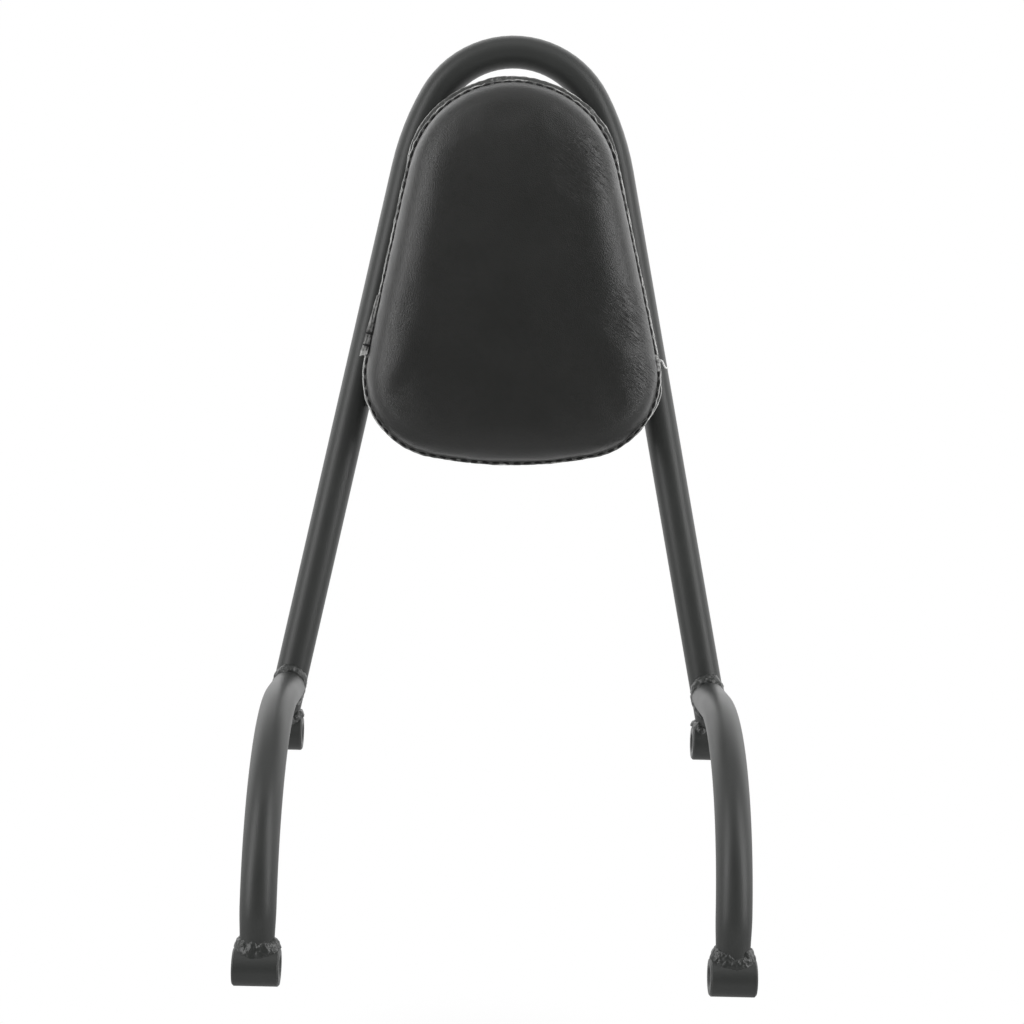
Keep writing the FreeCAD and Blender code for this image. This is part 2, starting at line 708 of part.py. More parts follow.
def make_spring_washers():
    """Split rings under the bolt heads."""
    body = make_rings("pad_spring_washers", ("spring_back", "spring_thickness", "spring_diameter", "bolt_hole"))
    slits = new_sketch(body, "slits", "XZ_Plane", at=("0", "0", "spring_back"))
    for x, level in BOLT_PLACES:
        draw_polygon(slits, [
            (f"{x} - spring_slit / 2", level),
            (f"{x} + spring_slit / 2", level),
            (f"{x} + spring_slit / 2", f"{level} + spring_diameter"),
            (f"{x} - spring_slit / 2", f"{level} + spring_diameter"),
        ])
    cut_through(body, slits)
    return body


def make_bolts():
    """Hexagon bolts from behind, as long as the stack that they hold."""
    body = new_body("pad_bolts", PAD_POSE)
    body.AllowCompound = True
    shanks = new_sketch(body, "shanks", "XZ_Plane", at=("0", "0", "spring_back"))
    draw_bolt_circles(shanks, "pad_bolt_diameter")
    add_pad(body, shanks, "board_front + tee_flange_thickness - spring_back")
    heads = new_sketch(body, "heads", "XZ_Plane", at=("0", "0", "spring_back - bolt_head_height"))
    for x, level in BOLT_PLACES:
        draw_polygon(heads, [
            (f"{x} + bolt_head_corner * cos({angle})", f"{level} + bolt_head_corner * sin({angle})")
            for angle in range(30, 390, 60)
        ])
    add_pad(body, heads, "bolt_head_height")
    return body


def make_subparts():
    subparts = [make_hoop()]
    for name, side in SIDES.items():
        front = ("front_bushing_half", "-branch_drop", "branch_reach")
        rear = ("rear_bushing_half", "0", "0")
        subparts.append(make_front_leg(name, side))
        subparts.append(make_bushing(f"front_bushing_{name}", side, *front))
        subparts.append(make_bushing(f"rear_bushing_{name}", side, *rear))
        subparts.extend(make_frame_welds(name, side))
    for name in ("upper", "lower"):
        level = f"{name}_strap_level"
        subparts.append(make_strap(f"{name}_strap", level, f"{name}_bolt_half"))
        subparts.append(make_strap_welds(f"{name}_strap_welds", level))
    foam = make_foam()
    subparts.extend([foam, make_front_cover(foam), make_back_cover(), make_base_board()])
    subparts.extend([make_tee_nuts(), make_washers(), make_spring_washers(), make_bolts()])
    return subparts


def check_and_write(subparts):
    for item in doc.Objects:
        if "Invalid" in item.State or "Error" in item.State:
            raise RuntimeError(f"{item.Label} failed: {item.State}")
    for subpart in subparts:
        if subpart.Shape.isNull() or not subpart.Shape.isValid():
            raise RuntimeError(f"{subpart.Label} has no valid shape")
    os.makedirs("parts", exist_ok=True)
    for subpart in subparts:
        subpart.Shape.exportStep(f"parts/{subpart.Label}.step")


backrest = make_subparts()
doc.recompute()
check_and_write(backrest)
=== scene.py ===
import bisect
import json
import math
import random

import bpy
from mathutils import Matrix, Vector, noise


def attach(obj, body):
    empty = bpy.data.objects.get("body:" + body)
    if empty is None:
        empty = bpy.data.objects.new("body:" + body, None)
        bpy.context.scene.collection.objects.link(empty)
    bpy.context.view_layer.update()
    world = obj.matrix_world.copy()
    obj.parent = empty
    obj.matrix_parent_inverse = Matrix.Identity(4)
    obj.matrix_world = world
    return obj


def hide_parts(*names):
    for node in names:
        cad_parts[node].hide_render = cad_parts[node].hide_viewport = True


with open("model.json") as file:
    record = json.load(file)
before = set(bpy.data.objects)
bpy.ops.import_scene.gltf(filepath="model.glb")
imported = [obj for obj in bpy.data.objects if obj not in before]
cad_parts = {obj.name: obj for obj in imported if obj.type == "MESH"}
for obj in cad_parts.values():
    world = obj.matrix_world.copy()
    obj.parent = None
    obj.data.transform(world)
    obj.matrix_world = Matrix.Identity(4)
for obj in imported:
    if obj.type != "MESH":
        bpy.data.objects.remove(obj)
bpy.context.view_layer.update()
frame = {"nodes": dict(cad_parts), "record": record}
nodes = frame["nodes"]

# All lengths are in metres and all angles in radians.

# Directions: to the right, towards the front and up
ACROSS = Vector((1, 0, 0))
FORWARDS = Vector((0, -1, 0))
UP = Vector((0, 0, 1))

# The frame, measured with its hoop upright
RAKE = math.radians(20.0)
UPPER_STRAP_LEVEL = 0.362
TUBE_RADIUS = 0.011
BUSHING_RADIUS = 0.0115
LEG_ANGLE = math.radians(11.33)
LEG_FOOT_HALF = 0.1484
BRANCH_PLANE = 0.142
BRANCH_LEVEL = 0.032
BRANCH_PITCH = math.radians(3.0)
BRANCH_RUN = Vector((0, -math.cos(BRANCH_PITCH), -math.sin(BRANCH_PITCH)))
BEND_RADIUS = 0.12
FRONT_BUSHING = Vector((0, -0.165, -0.121))

# A front leg: rings along its straight, its bend and its drop, and points to a ring
STRAIGHT_STEPS = 12
BEND_STEPS = 40
DROP_STEPS = 16
TUBE_SIDES = 64
# How far its lower end is pressed, from which height above the bushing and over what run
ROUND = Vector((1, 1, 1))
PRESSED = Vector((0.94, 0.7, 1))
PRESS_TOP = 0.036
PRESS_RUN = 0.024

# Weld beads: how far each goes up its tube and over its bar
BEAD_LEGS = {
    "leg": (0.003, 0.0052),
    "rear_bushing": (0.0045, 0.0035),
    "front_bushing": (0.0065, 0.0038),
}
BEAD_STEPS = 150
BEAD_SIDES = 16
BEAD_FACE = 12
BEAD_CROWN = 0.0006
BEAD_SINK = 0.0003
BEAD_ROOT = 0.002
# Lumps of a bead, each with height and size, and its finer grit in three directions
BEAD_LUMPS = ((0.0007, 0.0038), (0.00045, 0.0017))
STRAP_LUMPS = ((0.00045, 0.0032), (0.00012, 0.0012))
STRAP_VOXEL = 0.0005
GRIT_HEIGHT = 0.0002
GRIT_SIZE = 0.0013
GRIT_SHIFTS = (Vector((9.3, 0, 0)), Vector((0, 5.7, 0)), Vector((0, 0, 3.1)))

# The pad's outline: a round top, two round corners and a shallow bottom
PAD_TURN = math.radians(1.3)
PAD_TOP = Vector((0, 0.368))
PAD_TOP_RADIUS = 0.0695
PAD_CORNER = Vector((0.0444, 0.2429))
PAD_CORNER_RADIUS = 0.052
PAD_BOTTOM_RADIUS = 0.28
ARC_STEPS = 64
SEAM_STEPS = 727
# How far its back and its seam stand in front of the hoop's middle plane
PAD_BACK = 0.0112
SEAM_STAND = 0.033
SHEET_THICKNESS = 0.0008

# Stuffing: where the foam is cut behind the seam, how much is held, and how far the pad swells
FOAM_CUT = 0.0005
FOAM_VOXEL = 0.004
SEAM_GRIP = 0.003
PAD_PRESSURE = 4
SWELL_STEPS = 20
PAD_SWELL = 0.0008
COVER_LIFT = 0.0011

# Rings of the pad's back: out from the seam, in front of the hoop's middle plane, and puckered
PAD_BACK_RINGS = [
    (-0.003, 0.0322, 0.0),
    (0.0, 0.032, 0.0002),
    (0.0004, 0.028, 0.0005),
    (0.0004, 0.021, 0.0005),
    (0.0, 0.0172, 0.0005),
    (-0.0014, 0.0138, 0.0004),
    (-0.0038, 0.0119, 0.0003),
    (-0.0075, PAD_BACK, 0.0002),
]
PAD_BACK_SHARES = (0.8, 0.6, 0.4, 0.2, 0.05)

# Seam flange: its reach out from the seam, more over the top, less below, and its front layer's
FLANGE_REACH = 0.0027
FLANGE_OVER_TOP = 0.0022
FLANGE_BELOW = 0.0006
FLANGE_WAVE = 0.0004
FLANGE_FRONT_REACH = 0.002
FLANGE_FRONT_WAVE = 0.0004
FLANGE_SETBACK = 0.0003
FLANGE_LAYER = 0.0012
# Where it has come loose at the right
LOOSE_LEVEL = 0.234
LOOSE_RUN = 0.014

# Stitches
STITCH_COUNT = 104
STITCH_SIZE = (0.0032, 0.0006, 0.0008)
STITCH_DIP = 60
STITCH_OUT = 0.0009
STITCH_LIFT = 0.0007
STITCH_SWAY = 4
STITCH_SEED = 11

# The loose end at the left: its levels, its grid, its inner edge, and the ties over it
SIDE_START = 0.04
OVERLAP_TOP = 0.296
OVERLAP_END = 0.2545
OVERLAP_COLUMNS = 44
OVERLAP_ROWS = 6
OVERLAP_INNER = 0.0014
OVERLAP_FRAYED = 40
TIE_LEVELS = (0.271, 0.2625)
TIE_OUT = 0.0026
TIE_LIFT = 0.0024

# The folded end at the right, and the curl of thread from it: across, level and stand
FOLD_TOP = 0.2575
FOLD_END = 0.247
FOLD_COLUMNS = 20
FOLD_ROWS = 8
FOLD_RAGGED = 0.0014
THREAD_RADIUS = 0.0006
THREAD_END = [
    (0.0962, 0.2535, 0.0345),
    (0.0978, 0.2545, 0.0362),
    (0.0993, 0.2538, 0.0368),
    (0.1003, 0.2515, 0.0368),
    (0.1010, 0.2498, 0.0366),
    (0.1020, 0.2490, 0.0364),
    (0.1034, 0.2494, 0.0362),
]

# Tones, each from dark to light, and the one tone of the cover's cloth backing
COAT_TONES = ((0.0215, 0.0229, 0.0217), (0.0297, 0.0316, 0.0299))
LEATHERETTE_TONES = ((0.0085, 0.0088, 0.008), (0.0125, 0.0128, 0.0118))
CUT_TONES = ((0.042, 0.043, 0.041), (0.085, 0.086, 0.083))
BACKING_TONE = (0.6, 0.6, 0.59, 1)
# Creases in the cover: their slant, their size, and the spots on the pad with each one's reach
CREASE_SLANT = math.radians(36)
CREASE_SIZE = (0.0075, 0.02, 0.00065)
CREASE_SPOTS = [
    (Vector((0.08, -0.052, 0.281)), 0.026),
    (Vector((0.05, -0.057, 0.38)), 0.03),
    (Vector((0.085, -0.05, 0.243)), 0.018),
]
SMOOTH_ANGLE = math.radians(55)

# Studio: ranges are from, to, lowest and highest; lamps are place, aim, width, height and watts
RANGE_SOCKETS = ("From Min", "From Max", "To Min", "To Max")
WORLD_LEVEL = 0.4
SCREENS = (-0.15, 0.7, 0.05, 2.1)
SCREEN_SIDES = 0.2
FLOOR_SWEEP = (0.0, 0.9, 0.48, 1.3)
FLOOR_SIZE = 40
FLOOR_LEVEL = -0.36
SHADOW_REACH = 0.25
LAMPS = {
    "top_box": ((0, -0.1, 1.9), (0, 0, 0.15), 1.6, 1.2, 5),
    "left_box": ((-1.65, -0.95, 1.15), (0, 0, 0.35), 0.8, 2.5, 27),
    "right_box": ((1.7, -0.85, 1.15), (0, 0, 0.35), 0.75, 2.5, 29),
}

# Camera: what it aims at in the hoop plane, how far left and rolled it is, and its lens
AIM_ACROSS = 0.0057
AIM_LEVEL = 0.1535
CAMERA_LEFT = 0.0175
CAMERA_ROLL = 0.0269
CAMERA_DISTANCE = 1.358
SENSOR_WIDTH = 36.0
FOCAL_PIXELS = 2000
PICTURE_PIXELS = 1024

# The hoop plane leans back, and the pad hangs slightly turned on its slots
FRAME_POSE = Matrix.Rotation(-RAKE, 4, "X")
PAD_PIVOT = Matrix.Translation((0, 0, UPPER_STRAP_LEVEL))
PAD_POSE = FRAME_POSE @ PAD_PIVOT @ Matrix.Rotation(-PAD_TURN, 4, "Y") @ PAD_PIVOT.inverted()


# Materials

def new_material(name, **sockets):
    """A material with one shader, its plain values set on the shader itself."""
    material = bpy.data.materials.new(name)
    material.use_nodes = True
    shader = material.node_tree.nodes["Principled BSDF"]
    for socket, value in sockets.items():
        shader.inputs[socket.replace("_", " ")].default_value = value
    return material, material.node_tree, shader


def add_node(tree, kind, **settings):
    """A new node, each setting put on the node itself or else on its socket of that name."""
    node = tree.nodes.new(kind)
    for name, value in settings.items():
        if hasattr(node, name):
            setattr(node, name, value)
        else:
            node.inputs[name.replace("_", " ")].default_value = value
    return node


def add_tones(tree, tones):
    """A ramp from a dark tone to a light one."""
    ramp = add_node(tree, "ShaderNodeValToRGB")
    for k, tone in enumerate(tones):
        ramp.color_ramp.elements[k].color = (*tone, 1)
    return ramp


def set_range(node, values):
    """Set the four ends of a range node."""
    for socket, value in zip(RANGE_SOCKETS, values):
        node.inputs[socket].default_value = value


def object_coordinates(tree):
    """Places on the piece itself, for its textures."""
    return add_node(tree, "ShaderNodeTexCoord").outputs["Object"]


def powder_coat(name, gloss, peel_size, peel_depth):
    """Satin black powder coat: cloudy in its gloss, with orange peel of a given size and depth."""
    material, tree, shader = new_material(name, IOR=1.55)
    links = tree.links
    place = object_coordinates(tree)
    clouds = add_node(tree, "ShaderNodeTexNoise", Scale=38.0, Detail=3.0)
    tone = add_tones(tree, COAT_TONES)
    sheen = add_node(tree, "ShaderNodeMapRange", To_Min=gloss - 0.05, To_Max=gloss + 0.05)
    peel = add_node(tree, "ShaderNodeTexNoise", Scale=1 / peel_size, Detail=2.0)
    bump = add_node(tree, "ShaderNodeBump", Strength=0.3, Distance=peel_depth)
    links.new(place, clouds.inputs["Vector"])
    links.new(place, peel.inputs["Vector"])
    links.new(clouds.outputs["Fac"], tone.inputs["Fac"])
    links.new(clouds.outputs["Fac"], sheen.inputs["Value"])
    links.new(tone.outputs["Color"], shader.inputs["Base Color"])
    links.new(sheen.outputs["Result"], shader.inputs["Roughness"])
    links.new(peel.outputs["Fac"], bump.inputs["Height"])
    links.new(bump.outputs["Normal"], shader.inputs["Normal"])
    return material


def leatherette(name, creased=False, cut=False):
    """Black leatherette with a pebbled grain; creased where it is pulled, pale where it is cut,
    with painted light on the seam flange's sides.
    """
    material, tree, shader = new_material(name, IOR=1.6)
    links = tree.links
    place = object_coordinates(tree)
    cells = add_node(tree, "ShaderNodeTexVoronoi", feature="DISTANCE_TO_EDGE", Scale=850.0)
    valleys = add_node(tree, "ShaderNodeMapRange", From_Max=0.22)
    fine = add_node(tree, "ShaderNodeTexNoise", Scale=700.0, Detail=3.0)
    grain = add_node(tree, "ShaderNodeMix", Factor=0.35)
    clouds = add_node(tree, "ShaderNodeTexNoise", Scale=30.0, Detail=4.0)
    gloss = add_node(tree, "ShaderNodeMapRange", To_Min=0.32, To_Max=0.4)
    tone = add_tones(tree, CUT_TONES if cut else LEATHERETTE_TONES)
    bump = add_node(tree, "ShaderNodeBump", Strength=0.3, Distance=0.0004)
    for texture in (cells, fine, clouds):
        links.new(place, texture.inputs["Vector"])
    links.new(cells.outputs["Distance"], valleys.inputs["Value"])
    links.new(valleys.outputs["Result"], grain.inputs["A"])
    links.new(fine.outputs["Fac"], grain.inputs["B"])
    links.new(clouds.outputs["Fac"], gloss.inputs["Value"])
    links.new(clouds.outputs["Fac"], tone.inputs["Fac"])
    links.new(gloss.outputs["Result"], shader.inputs["Roughness"])
    links.new(grain.outputs["Result"], bump.inputs["Height"])
    links.new(bump.outputs["Normal"], shader.inputs["Normal"])
    colour = tone.outputs["Color"]
    if creased:
        links.new(pulled_creases(tree, place), bump.inputs["Normal"])
    if cut:
        colour = pale_cut_edge_and_painted_light(tree, place, colour)
    links.new(colour, shader.inputs["Base Color"])
    return material


def near_spot(tree, place, spot, reach):
    """One at a spot on the backrest, fading to nought so far from it."""
    gap = add_node(tree, "ShaderNodeVectorMath", operation="DISTANCE")
    gap.inputs[1].default_value = spot
    fade = add_node(tree, "ShaderNodeMapRange", interpolation_type="SMOOTHSTEP")
    set_range(fade, (0.3 * reach, reach, 1.0, 0.0))
    tree.links.new(place, gap.inputs[0])
    tree.links.new(gap.outputs["Value"], fade.inputs["Value"])
    return fade.outputs["Result"]


def near_any_spot(tree, place):
    """The fades of all creased spots of the pad, added up."""
    fades = [near_spot(tree, place, PAD_POSE @ spot, reach) for spot, reach in CREASE_SPOTS]
    total = fades[0]
    for fade in fades[1:]:
        both = add_node(tree, "ShaderNodeMath", operation="ADD")
        tree.links.new(total, both.inputs[0])
        tree.links.new(fade, both.inputs[1])
        total = both.outputs["Value"]
    return total


def pulled_creases(tree, place):
    """Fine slanting creases at the right, where the leatherette is drawn round the edge."""
    links = tree.links
    slant = add_node(tree, "ShaderNodeMapping", vector_type="TEXTURE", Scale=CREASE_SIZE)
    slant.inputs["Rotation"].default_value = (-RAKE, CREASE_SLANT, 0)
    lines = add_node(tree, "ShaderNodeTexNoise", Scale=1.0, Detail=2.0, Distortion=0.4)
    folds = add_node(tree, "ShaderNodeMapRange", From_Min=0.54, From_Max=0.66)
    depth = add_node(tree, "ShaderNodeMath", operation="MULTIPLY")
    bump = add_node(tree, "ShaderNodeBump", Strength=0.9, Distance=0.0008)
    links.new(place, slant.inputs["Vector"])
    links.new(slant.outputs["Vector"], lines.inputs["Vector"])
    links.new(lines.outputs["Fac"], folds.inputs["Value"])
    links.new(folds.outputs["Result"], depth.inputs[0])
    links.new(near_any_spot(tree, place), depth.inputs[1])
    links.new(depth.outputs["Value"], bump.inputs["Height"])
    return bump.outputs["Normal"]


def pale_cut_edge_and_painted_light(tree, place, colour):
    """The pale cloth backing that shows along a cut edge, more in some places than in others, and
    the painted light that the flange's marks add at its sides.
    """
    links = tree.links
    edge = add_node(tree, "ShaderNodeAttribute", attribute_name="raw_edge_and_painted_light")
    fray = add_node(tree, "ShaderNodeTexNoise", Scale=420.0, Detail=3.0)
    ragged = add_node(tree, "ShaderNodeMapRange", To_Min=-0.35, To_Max=0.35)
    amount = add_node(tree, "ShaderNodeMath", operation="ADD")
    shown = add_node(tree, "ShaderNodeMapRange", From_Min=0.35, From_Max=0.85)
    mix = add_node(tree, "ShaderNodeMix", data_type="RGBA")
    mix.inputs["B"].default_value = BACKING_TONE
    links.new(place, fray.inputs["Vector"])
    links.new(fray.outputs["Fac"], ragged.inputs["Value"])
    links.new(edge.outputs["Fac"], amount.inputs[0])
    links.new(ragged.outputs["Result"], amount.inputs[1])
    links.new(amount.outputs["Value"], shown.inputs["Value"])
    links.new(shown.outputs["Result"], mix.inputs["Factor"])
    links.new(colour, mix.inputs["A"])
    return mix.outputs["Result"]


def plain_grain(name, tones, scale, roughness, depth, **sockets):
    """A surface whose tone and relief follow one noise of a given size."""
    material, tree, shader = new_material(name, Roughness=roughness, **sockets)
    links = tree.links
    speckle = add_node(tree, "ShaderNodeTexNoise", Scale=scale, Detail=4.0)
    tone = add_tones(tree, tones)
    bump = add_node(tree, "ShaderNodeBump", Strength=0.4, Distance=depth)
    links.new(object_coordinates(tree), speckle.inputs["Vector"])
    links.new(speckle.outputs["Fac"], tone.inputs["Fac"])
    links.new(tone.outputs["Color"], shader.inputs["Base Color"])
    links.new(speckle.outputs["Fac"], bump.inputs["Height"])
    links.new(bump.outputs["Normal"], shader.inputs["Normal"])
    return material


# Ways of working

def only(piece):
    """Select one piece and nothing else."""
    bpy.ops.object.select_all(action="DESELECT")
    piece.select_set(True)
    bpy.context.view_layer.objects.active = piece


def name_new(name):
    """The piece that was just drawn, with its name."""
    piece = bpy.context.object
    piece.name = name
    piece.data.name = name
    return piece


def open_mesh(piece):
    """Go into a piece's mesh with all of it selected."""
    only(piece)
    bpy.ops.object.mode_set(mode="EDIT")
    bpy.ops.mesh.select_all(action="SELECT")


def close_mesh():
    """Leave the mesh that was opened."""
    bpy.ops.object.mode_set(mode="OBJECT")


def work(piece, kind, **settings):
    """Put a modifier on a piece and apply it."""
    only(piece)
    modifier = piece.modifiers.new(kind.lower(), kind)
    for name, value in settings.items():
        setattr(modifier, name, value)
    bpy.ops.object.modifier_apply(modifier=modifier.name)


def copy_node(node, name):
    """A new piece that starts from a CAD node's mesh, with its double points merged."""
    piece = bpy.data.objects.new(name, nodes[node].data.copy())
    piece.data.name = name
    piece.data.materials.clear()
    piece.data.transform(nodes[node].matrix_world)
    bpy.context.scene.collection.objects.link(piece)
    open_mesh(piece)
    bpy.ops.mesh.remove_doubles(threshold=0.00001)
    close_mesh()
    bpy.ops.mesh.customdata_custom_splitnormals_clear()
    return piece


def turn_faces(piece, direction):
    """Turn the faces of an open sheet to one side."""
    lean = sum((face.normal * face.area for face in piece.data.polygons), Vector())
    if lean.dot(direction) < 0:
        open_mesh(piece)
        bpy.ops.mesh.flip_normals()
        close_mesh()


def thicken(piece, outside):
    """Give an open sheet the cover's thickness, inwards from the side that faces out."""
    turn_faces(piece, outside)
    work(piece, "SOLIDIFY", thickness=SHEET_THICKNESS, offset=-1)


def settle(piece, material, pose):
    """Put a shaped piece at its place on the backrest and give it its finish."""
    piece.data.transform(pose)
    piece.data.materials.append(material)
    only(piece)
    bpy.ops.object.shade_smooth_by_angle(angle=SMOOTH_ANGLE)
    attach(piece, "root")


def ramp_up(value, start, run):
    """Nought up to a start, then rising to one over a run."""
    return min(max((value - start) / run, 0), 1)


# Pad

def seam_line(count):
    """Even points of the pad's seam, clockwise from its top, each with its outward direction."""
    spread = PAD_CORNER.x
    fall = PAD_CORNER.y - PAD_TOP.y
    side = math.acos((PAD_TOP_RADIUS - PAD_CORNER_RADIUS) / math.hypot(spread, fall))
    side += math.atan2(fall, spread)
    rise = math.sqrt((PAD_BOTTOM_RADIUS - PAD_CORNER_RADIUS) ** 2 - spread ** 2)
    low = math.atan2(-rise, spread)
    left_corner = Vector((-PAD_CORNER.x, PAD_CORNER.y))
    bends = [
        (PAD_TOP, PAD_TOP_RADIUS, math.pi / 2, side),
        (PAD_CORNER, PAD_CORNER_RADIUS, side, low),
        (Vector((0, PAD_CORNER.y + rise)), PAD_BOTTOM_RADIUS, low, -math.pi - low),
        (left_corner, PAD_CORNER_RADIUS, -math.pi - low, -math.pi - side),
        (PAD_TOP, PAD_TOP_RADIUS, -math.pi - side, -1.5 * math.pi),
    ]
    fine = []
    for middle, radius, start, end in bends:
        for step in range(ARC_STEPS + 1):
            angle = start + (end - start) * step / ARC_STEPS
            outward = Vector((math.cos(angle), math.sin(angle)))
            fine.append((middle + radius * outward, outward))
    run = [0.0]
    for (before, _), (after, _) in zip(fine, fine[1:]):
        run.append(run[-1] + (after - before).length)
    line = []
    for step in range(count):
        wanted = run[-1] * step / count
        k = bisect.bisect_right(run, wanted)
        share = (wanted - run[k - 1]) / (run[k] - run[k - 1])
        (before, out_before), (after, out_after) = fine[k - 1], fine[k]
        line.append((before.lerp(after, share), out_before.lerp(out_after, share).normalized()))
    return line


def at_seam(point, outward, grow, stand):
    """A point beside the seam: so far out from it, and so far before the hoop's middle plane."""
    out = point + outward * grow
    return Vector((out.x, -stand, out.y))


def flutter(point, size, strand):
    """A smooth irregular wave along the seam, between about -1 and 1."""
    return noise.noise(Vector((point.x / size, point.y / size, strand * 7.3)))


def draw_rings(name, rings):
    """A band through closed rings of points: a circle, extruded once for each further ring."""
    bpy.ops.object.select_all(action="DESELECT")
    bpy.ops.mesh.primitive_circle_add(vertices=len(rings[0]), radius=PAD_TOP_RADIUS)
    piece = name_new(name)
    bpy.ops.object.mode_set(mode="EDIT")
    for _ in rings[1:]:
        bpy.ops.mesh.extrude_edges_move()
    close_mesh()
    places = [place for ring in rings for place in ring]
    for vertex, place in zip(piece.data.vertices, places):
        vertex.co = place
    return piece


def draw_strip(name, along, across, place):
    """A strip of cloth: a grid, each of its points put at its place along and across."""
    bpy.ops.object.select_all(action="DESELECT")
    bpy.ops.mesh.primitive_grid_add(x_subdivisions=along, y_subdivisions=across, size=1)
    piece = name_new(name)
    for vertex in piece.data.vertices:
        vertex.co = place(vertex.co.x + 0.5, vertex.co.y + 0.5)
    return piece


def mark_raw_and_painted_light(piece, amounts):
    """Note for each point how pale a cut edge is there: how far its backing shows, and on the
    flange also painted light.
    """
    raw = piece.data.attributes.new("raw_edge_and_painted_light", "FLOAT", "POINT")
    raw.data.foreach_set("value", amounts)


def stuff_pad_front():
    """The crowned front of the pad, blown up over its foam and held all round at the seam."""
    piece = copy_node("pad_foam", "padded_front")
    piece.data.transform(PAD_POSE.inverted())
    open_mesh(piece)
    cut = (0, FOAM_CUT - SEAM_STAND, 0)
    bpy.ops.mesh.bisect(plane_co=cut, plane_no=(0, 1, 0), use_fill=True, clear_outer=True)
    close_mesh()
    piece.data.remesh_voxel_size = FOAM_VOXEL
    bpy.ops.object.voxel_remesh()
    held_stand = SEAM_STAND + SEAM_GRIP
    near_seam = [vertex.index for vertex in piece.data.vertices if -vertex.co.y < held_stand]
    piece.vertex_groups.new(name="seam").add(near_seam, 1.0, "REPLACE")
    swell(piece, "seam")
    work(piece, "SMOOTH", factor=0.5, iterations=8, vertex_group="seam", invert_vertex_group=True)
    open_mesh(piece)
    bpy.ops.transform.shrink_fatten(value=COVER_LIFT)
    close_mesh()
    work(piece, "SUBSURF", levels=1, render_levels=1)
    return piece


def swell(piece, held):
    """Blow a pad up from within, no further than its cover gives."""
    slack = [vertex.co.copy() for vertex in piece.data.vertices]
    cloth = piece.modifiers.new("stuffing", "CLOTH")
    cloth.settings.vertex_group_mass = held
    cloth.settings.use_pressure = True
    cloth.settings.uniform_pressure_force = PAD_PRESSURE
    cloth.settings.effector_weights.gravity = 0
    for step in range(1, SWELL_STEPS + 1):
        bpy.context.scene.frame_set(step)
    only(piece)
    bpy.ops.object.modifier_apply(modifier=cloth.name)
    for vertex, before in zip(piece.data.vertices, slack):
        moved = vertex.co - before
        if moved.length > PAD_SWELL:
            vertex.co = before + moved.normalized() * PAD_SWELL
    bpy.context.scene.frame_set(1)


def draw_pad_back():
    """The back of the cover: drawn round the board's edge, puckered, and flat at the straps."""
    line = seam_line(SEAM_STEPS // 2)
    rings = []
    for grow, stand, pucker in PAD_BACK_RINGS:
        ring = []
        for point, outward in line:
            ripple = flutter(point, size=0.009, strand=1) * pucker
            ring.append(at_seam(point, outward, grow + ripple, stand))
        rings.append(ring)
    middle = Vector((0, -PAD_BACK, (PAD_TOP.y + PAD_CORNER.y) / 2))
    flat_edge = rings[-1]
    for share in PAD_BACK_SHARES:
        rings.append([middle + (place - middle) * share for place in flat_edge])
    piece = draw_rings("padded_back", rings)
    bpy.ops.object.mode_set(mode="EDIT")
    bpy.ops.mesh.edge_face_add()
    close_mesh()
    thicken(piece, -FORWARDS)
    return piece


def loose_seam(point):
    """One where the seam has come loose at the lower right, and nought away from there."""
    return math.exp(-((point.y - LOOSE_LEVEL) / LOOSE_RUN) ** 2) if point.x > 0 else 0.0


def flange_reach(point, outward):
    """How far the seam flange stands out: widest over the top, and wide where it is loose."""
    over_top = FLANGE_OVER_TOP * ramp_up(outward.y, 0.2, 0.35)
    below = FLANGE_BELOW * ramp_up(-outward.y, 0.3, 0.4)
    loose = loose_seam(point) * (0.0008 + 0.0012 * flutter(point, size=0.005, strand=12))
    wave = FLANGE_WAVE * flutter(point, size=0.013, strand=2)
    return FLANGE_REACH + over_top - below + loose + wave


def front_reach(point, arch, edge):
    """How far the front layer of the flange stands out, short of the edge of the back layer."""
    reach = FLANGE_FRONT_REACH + FLANGE_FRONT_WAVE * arch
    reach += FLANGE_FRONT_WAVE * flutter(point, size=0.006, strand=3)
    return min(reach, edge - FLANGE_SETBACK)


def scallop(step):
    """Nought at each needle hole and one midway between two."""
    return abs(math.sin(math.pi * STITCH_COUNT * step / SEAM_STEPS))


